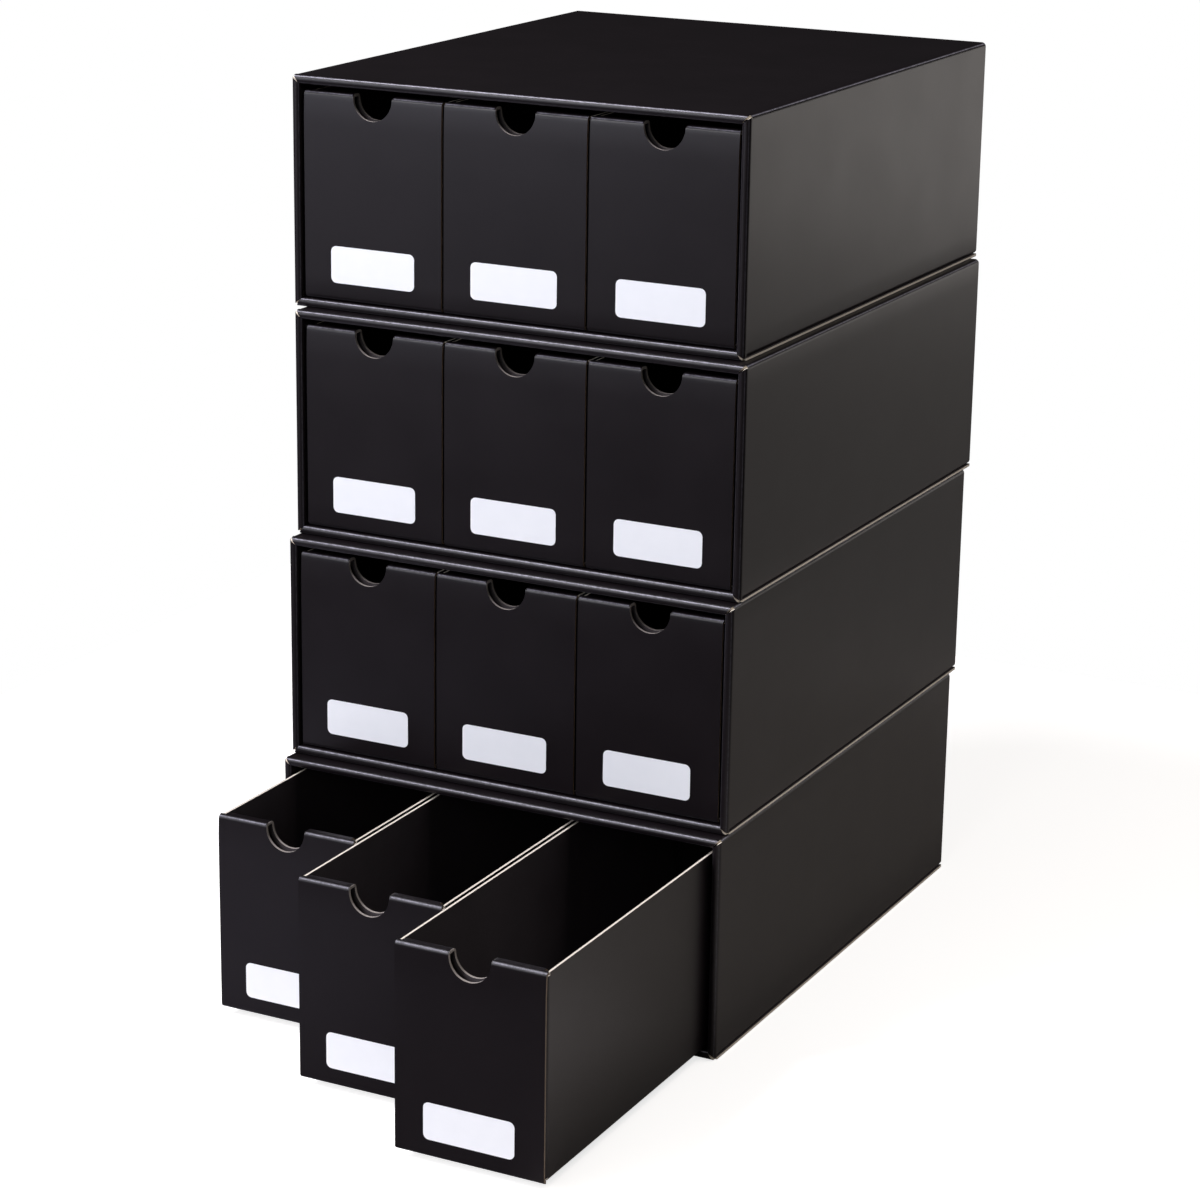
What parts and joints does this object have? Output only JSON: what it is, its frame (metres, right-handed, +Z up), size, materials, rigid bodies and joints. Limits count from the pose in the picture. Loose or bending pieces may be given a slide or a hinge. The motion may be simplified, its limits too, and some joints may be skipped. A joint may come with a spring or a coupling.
{
  "type": "trading card drawer box",
  "caption": "Stack of black folded-board cases, each with side-by-side pull-out drawers with thumb notches and blank labels, for storing upright trading cards.",
  "frame": {"origin": "middle of the bottom case's underside", "axes": "+X to the right, -Y towards the front that the drawers open to, +Z up"},
  "size_m": [0.2664, 0.5172, 0.488],
  "materials": {
    "black_board": "satin laminate",
    "white_label": "matte"
  },
  "bodies": {
    "case_1": {"case_1_sleeve": "black_board", "case_1_rear_panel": "black_board"},
    "case_2": {"case_2_sleeve": "black_board", "case_2_rear_panel": "black_board"},
    "case_3": {"case_3_sleeve": "black_board", "case_3_rear_panel": "black_board"},
    "case_4": {"case_4_sleeve": "black_board", "case_4_rear_panel": "black_board"},
    "drawer_1_left": {"drawer_1_left_tray": "black_board", "drawer_1_left_label": "white_label"},
    "drawer_1_middle": {"drawer_1_middle_tray": "black_board", "drawer_1_middle_label": "white_label"},
    "drawer_1_right": {"drawer_1_right_tray": "black_board", "drawer_1_right_label": "white_label"},
    "drawer_2_left": {"drawer_2_left_tray": "black_board", "drawer_2_left_label": "white_label"},
    "drawer_2_middle": {"drawer_2_middle_tray": "black_board", "drawer_2_middle_label": "white_label"},
    "drawer_2_right": {"drawer_2_right_tray": "black_board", "drawer_2_right_label": "white_label"},
    "drawer_3_left": {"drawer_3_left_tray": "black_board", "drawer_3_left_label": "white_label"},
    "drawer_3_middle": {"drawer_3_middle_tray": "black_board", "drawer_3_middle_label": "white_label"},
    "drawer_3_right": {"drawer_3_right_tray": "black_board", "drawer_3_right_label": "white_label"},
    "drawer_4_left": {"drawer_4_left_tray": "black_board", "drawer_4_left_label": "white_label"},
    "drawer_4_middle": {"drawer_4_middle_tray": "black_board", "drawer_4_middle_label": "white_label"},
    "drawer_4_right": {"drawer_4_right_tray": "black_board", "drawer_4_right_label": "white_label"}
  },
  "joints": [
    {"name": "case_2_lift", "type": "slide", "parent": "case_1", "child": "case_2", "axis": [0, 0, 1], "range_m": [0, 0.06]},
    {"name": "case_3_lift", "type": "slide", "parent": "case_2", "child": "case_3", "axis": [0, 0, 1], "range_m": [0, 0.06]},
    {"name": "case_4_lift", "type": "slide", "parent": "case_3", "child": "case_4", "axis": [0, 0, 1], "range_m": [0, 0.06]},
    {"name": "drawer_1_left_slide", "type": "slide", "parent": "case_1", "child": "drawer_1_left", "axis": [0, -1, 0], "range_m": [-0.076, 0.204]},
    {"name": "drawer_1_middle_slide", "type": "slide", "parent": "case_1", "child": "drawer_1_middle", "axis": [0, -1, 0], "range_m": [-0.131, 0.149]},
    {"name": "drawer_1_right_slide", "type": "slide", "parent": "case_1", "child": "drawer_1_right", "axis": [0, -1, 0], "range_m": [-0.178, 0.102]},
    {"name": "drawer_2_left_slide", "type": "slide", "parent": "case_2", "child": "drawer_2_left", "axis": [0, -1, 0], "range_m": [0, 0.28]},
    {"name": "drawer_2_middle_slide", "type": "slide", "parent": "case_2", "child": "drawer_2_middle", "axis": [0, -1, 0], "range_m": [0, 0.28]},
    {"name": "drawer_2_right_slide", "type": "slide", "parent": "case_2", "child": "drawer_2_right", "axis": [0, -1, 0], "range_m": [0, 0.28]},
    {"name": "drawer_3_left_slide", "type": "slide", "parent": "case_3", "child": "drawer_3_left", "axis": [0, -1, 0], "range_m": [0, 0.28]},
    {"name": "drawer_3_middle_slide", "type": "slide", "parent": "case_3", "child": "drawer_3_middle", "axis": [0, -1, 0], "range_m": [0, 0.28]},
    {"name": "drawer_3_right_slide", "type": "slide", "parent": "case_3", "child": "drawer_3_right", "axis": [0, -1, 0], "range_m": [0, 0.28]},
    {"name": "drawer_4_left_slide", "type": "slide", "parent": "case_4", "child": "drawer_4_left", "axis": [0, -1, 0], "range_m": [0, 0.28]},
    {"name": "drawer_4_middle_slide", "type": "slide", "parent": "case_4", "child": "drawer_4_middle", "axis": [0, -1, 0], "range_m": [0, 0.28]},
    {"name": "drawer_4_right_slide", "type": "slide", "parent": "case_4", "child": "drawer_4_right", "axis": [0, -1, 0], "range_m": [0, 0.28]}
  ]
}
